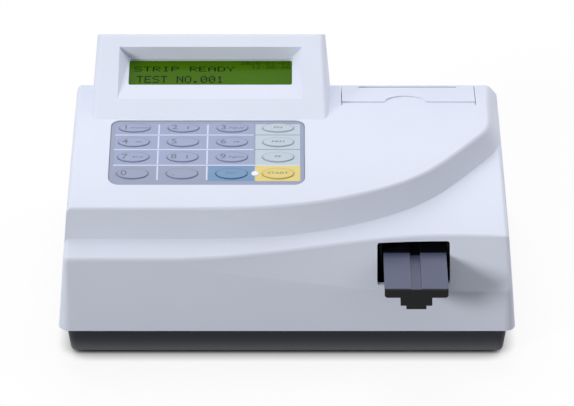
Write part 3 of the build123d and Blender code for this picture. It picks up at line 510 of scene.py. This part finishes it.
def key_plane(key):
    """Matrix of the key's upper face: X to the right, Y up the keypad, Z out of it."""
    node = frame["nodes"]["key_" + key]
    out = -press_axis["press_" + key].normalized()
    top = max(v.co.dot(out) for v in node.data.vertices)
    middle = centre("key_" + key)
    origin = middle + out * (top - middle.dot(out) + ink_lift)
    right = Vector((1, 0, 0))
    matrix = Matrix((right, out.cross(right), out)).transposed().to_4x4()
    matrix.translation = origin
    return matrix


digit_h = 4.9 * mm
word_h = 1.85 * mm
digit_x = -5.6 * mm
word_x = 3.0 * mm
second_drop = 0.4 * mm     # the second legend stands this much lower
word_growth = 1.08         # the single words are this much higher than the second legends
word_widen, digit_widen, second_widen = 1.6, 1.2, 1.75
arrow_size = 4.2 * mm
ring_inset = 0.32 * mm     # the key's chamfer lies outside it
ring_w = 0.26 * mm
right_arrow, up_arrow, left_arrow, down_arrow = range(4)
second_legends = {
    "1": "Home", "2": up_arrow, "3": "PgUp", "4": left_arrow, "6": right_arrow,
    "7": "End", "8": down_arrow, "9": "PgDn",
}
plain_legends = {"fn": "FN", "prn": "PRN", "feed": "FF", "esc": "ESC", "start": "START"}


def key_ring(key, material, segments=64):
    """Thin line of painted shade round the key's upper face, standing in for the shade of its embossed edge."""
    plane = key_plane(key)
    to_key = plane.inverted()
    corners = [to_key @ v.co for v in frame["nodes"]["key_" + key].data.vertices]
    across = [corner.x for corner in corners]
    along = [corner.y for corner in corners]
    half_w = (max(across) - min(across)) / 2 - ring_inset
    half_h = (max(along) - min(along)) / 2 - ring_inset
    verts, faces = [], []
    for i in range(segments):
        turn = 2 * math.pi * i / segments
        for inward in (0, ring_w):
            verts.append(((half_w - inward) * math.cos(turn), (half_h - inward) * math.sin(turn), 0))
        after = (i + 1) % segments
        faces.append((2 * i, 2 * after, 2 * after + 1, 2 * i + 1))
    add_mesh("ring_" + key, verts, faces, material, "base_dark", "press_" + key, plane)


def key_legends():
    """Rings of painted shade, digits, words and arrows on the keys; each rides on its own key."""
    for row in key_rows:
        for key in row:
            body = "press_" + key
            plane = key_plane(key)
            key_ring(key, painted_ring_shades.get(key, painted_ring_shade))
            if key in plain_legends:
                paint = {"start": start_ink, "esc": blue_ink}.get(key, legend_ink)
                outline = text_outline(plain_legends[key], word_h * word_growth, word_widen)
                add_mesh("legend_" + key, *outline, paint, "base_dark", body, plane)
                continue
            mark = "." if key == "point" else key
            shift = Matrix.Translation((digit_x, 0, 0))
            outline = text_outline(mark, digit_h, digit_widen)
            add_mesh("legend_" + key, *outline, legend_ink, "base_dark", body, plane @ shift)
            second = second_legends.get(key)
            if second is None:
                continue
            shift = Matrix.Translation((word_x, -second_drop, 0))
            if isinstance(second, str):
                outline = text_outline(second, word_h, second_widen)
            else:
                outline = arrow_outline(arrow_size, second)
            add_mesh("legend_" + key + "_second", *outline, legend_ink, "base_dark", body,
                     plane @ shift)


# ---------------------------------------------------------------- the screen's dot matrix
glyphs = {
    "A": "01110 10001 10001 11111 10001 10001 10001",
    "D": "11110 10001 10001 10001 10001 10001 11110",
    "E": "11111 10000 10000 11110 10000 10000 11111",
    "I": "01110 00100 00100 00100 00100 00100 01110",
    "N": "10001 11001 10101 10101 10011 10001 10001",
    "O": "01110 10001 10001 10001 10001 10001 01110",
    "P": "11110 10001 10001 11110 10000 10000 10000",
    "R": "11110 10001 10001 11110 10100 10010 10001",
    "S": "01111 10000 10000 01110 00001 00001 11110",
    "T": "11111 00100 00100 00100 00100 00100 00100",
    "Y": "10001 10001 01010 00100 00100 00100 00100",
    "0": "01110 10001 10011 10101 11001 10001 01110",
    "1": "00100 01100 00100 00100 00100 00100 01110",
    "2": "01110 10001 00001 00110 01000 10000 11111",
    ".": "00000 00000 00000 00000 00000 01100 01100",
    ":": "00000 00100 00100 00000 00100 00100 00000",
    "-": "00000 00000 00000 11111 00000 00000 00000",
    " ": "00000 00000 00000 00000 00000 00000 00000",
}
glyph_columns, glyph_rows = 5, 7


def dot_text(name, text, left, top, w, h, fill, plane):
    """Line of dot-matrix text, w wide and h high, its upper left corner at (left, top)."""
    step_x = w / (len(text) * (glyph_columns + 1) - 1)
    step_y = h / glyph_rows
    verts, faces = [], []
    for place_in_line, letter in enumerate(text):
        for row, bits in enumerate(glyphs[letter].split()):
            for column, bit in enumerate(bits):
                if bit == "0":
                    continue
                x = left + (place_in_line * (glyph_columns + 1) + column) * step_x
                y = top - row * step_y
                first = len(verts)
                verts += [(x, y - step_y * fill, 0), (x + step_x * fill, y - step_y * fill, 0),
                          (x + step_x * fill, y, 0), (x, y, 0)]
                faces.append((first, first + 1, first + 2, first + 3))
    add_mesh(name, verts, faces, screen_dots, "lcd", "case", plane)


def screen_plane():
    """Matrix of the glass's upper face, its origin in the middle, and half its width and height."""
    mesh = frame["nodes"]["lcd_glass"].data
    face = max((p for p in mesh.polygons if p.normal.z > 0.5), key=lambda p: p.area)
    out = face.normal.copy()
    right = Vector((1, 0, 0))
    up = out.cross(right).normalized()
    middle = centre("lcd_glass")
    level = max(v.co.dot(out) for v in mesh.vertices)
    along = [v.co.dot(up) for v in mesh.vertices]
    across = [v.co.x for v in mesh.vertices]
    origin = middle + out * (level - middle.dot(out) + ink_lift)
    matrix = Matrix((right, up, out)).transposed().to_4x4()
    matrix.translation = origin
    return matrix, (max(across) - min(across)) / 2, (max(along) - min(along)) / 2


# name, text, side, then in mm: inset from that side, drop from the top, width and height
screen_lines = (
    ("screen_line_1", "STRIP READY", -1, 3.2, 6.2, 66, 5.4),
    ("screen_line_2", "TEST NO.001", -1, 5, 16.5, 57, 7.4),
    ("screen_date", "2020-01-01", 1, 33.5, 0.8, 32.5, 3.6),
    ("screen_time", "12:00:00", 1, 26.5, 5.4, 25.5, 3.6),
)
full_dot, fine_dot = 1.0, 0.85     # share of its cell that a dot fills


def screen_text():
    """What the screen shows: a plain message with a date and a time."""
    plane, half_w, half_h = screen_plane()
    for name, text, side, inset, drop, w, h in screen_lines:
        left = side * (half_w - inset * mm)
        fill = full_dot if side < 0 else fine_dot
        dot_text(name, text, left, half_h - drop * mm, w * mm, h * mm, fill, plane)


key_legends()
screen_text()


# ---------------------------------------------------------------- stage, light and camera
def floor_material():
    """Pale floor that looks white and keeps the near shadow, but throws less light back."""
    material, tree, shader = new_shader("floor_paper")
    path = tree.nodes.new("ShaderNodeLightPath")
    seen = tree.nodes.new("ShaderNodeMath")
    seen.operation = "MAXIMUM"
    tree.links.new(path.outputs["Is Camera Ray"], seen.inputs[0])
    tree.links.new(path.outputs["Is Glossy Ray"], seen.inputs[1])
    colour = mix_colour(tree, seen.outputs[0], (floor_bounce,) * 3,
                        (floor_look * (1 - floor_glow),) * 3)
    tree.links.new(colour, shader.inputs["Base Color"])
    near = tree.nodes.new("ShaderNodeAmbientOcclusion")
    near.inputs["Distance"].default_value = contact_reach
    near.samples = contact_samples
    open_share = remap(tree, near.outputs["AO"], contact_span, 0, floor_glow)
    glow = tree.nodes.new("ShaderNodeMath")
    glow.operation = "MULTIPLY"
    tree.links.new(open_share, glow.inputs[1])
    tree.links.new(seen.outputs[0], glow.inputs[0])
    shader.inputs["Emission Color"].default_value = (*white, 1)
    tree.links.new(glow.outputs[0], shader.inputs["Emission Strength"])
    shader.inputs["Roughness"].default_value = 0.9
    shader.inputs["Specular IOR Level"].default_value = 0.0
    return material


def build_stage():
    """Plain level floor."""
    half = floor_half
    mesh = bpy.data.meshes.new("floor")
    mesh.from_pydata([(-half, -half, 0), (half, -half, 0), (half, half, 0), (-half, half, 0)], [],
                     [(0, 1, 2, 3)])
    mesh.materials.append(floor_material())
    floor = bpy.data.objects.new("floor", mesh)
    floor.location.z = -floor_drop
    bpy.context.scene.collection.objects.link(floor)


def add_sun(name, direction, strength, softness, colour):
    """Soft parallel light from a direction."""
    sun = bpy.data.lights.new(name, "SUN")
    sun.energy = strength
    sun.color = colour
    sun.angle = math.radians(softness)
    lamp = bpy.data.objects.new(name, sun)
    lamp.rotation_euler = Vector(direction).to_track_quat("Z", "Y").to_euler()
    bpy.context.scene.collection.objects.link(lamp)


def build_light():
    """The lamps, and a sky that is white to the eye and gentler to what it lights."""
    for light in lights:
        add_sun(*light)
    world = bpy.data.worlds.new("studio")
    world.use_nodes = True
    tree = world.node_tree
    tree.nodes.clear()
    path = tree.nodes.new("ShaderNodeLightPath")
    seen = tree.nodes.new("ShaderNodeMath")
    seen.operation = "MAXIMUM"
    tree.links.new(path.outputs["Is Camera Ray"], seen.inputs[0])
    tree.links.new(path.outputs["Is Transmission Ray"], seen.inputs[1])
    direction = tree.nodes.new("ShaderNodeTexCoord").outputs["Generated"]
    split = tree.nodes.new("ShaderNodeSeparateXYZ")
    tree.links.new(direction, split.inputs["Vector"])
    level = remap(tree, split.outputs["Z"], (0, 1), sky_low, sky_top)
    strength = tree.nodes.new("ShaderNodeMix")
    strength.data_type = "FLOAT"
    tree.links.new(seen.outputs[0], strength.inputs["Factor"])
    tree.links.new(level, strength.inputs["A"])
    strength.inputs["B"].default_value = 1.0
    tint = mix_colour(tree, seen.outputs[0], sky_tint, white)
    background = tree.nodes.new("ShaderNodeBackground")
    output = tree.nodes.new("ShaderNodeOutputWorld")
    tree.links.new(tint, background.inputs["Color"])
    tree.links.new(strength.outputs["Result"], background.inputs["Strength"])
    tree.links.new(background.outputs["Background"], output.inputs["Surface"])
    bpy.context.scene.world = world


def build_camera():
    """Long lens in front of the part, above it and tilted down."""
    data = bpy.data.cameras.new("camera")
    data.lens = lens
    data.sensor_width = sensor
    data.sensor_fit = "HORIZONTAL"
    data.clip_start, data.clip_end = camera_clip
    camera = bpy.data.objects.new("camera", data)
    camera.location = (0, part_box("upper_housing")[0].y - camera_back, camera_height)
    camera.rotation_euler = (math.radians(camera_tilt), 0, 0)
    bpy.context.scene.collection.objects.link(camera)
    bpy.context.scene.camera = camera


build_stage()
build_light()
build_camera()
bpy.context.scene.view_settings.view_transform = "Standard"

write_size()
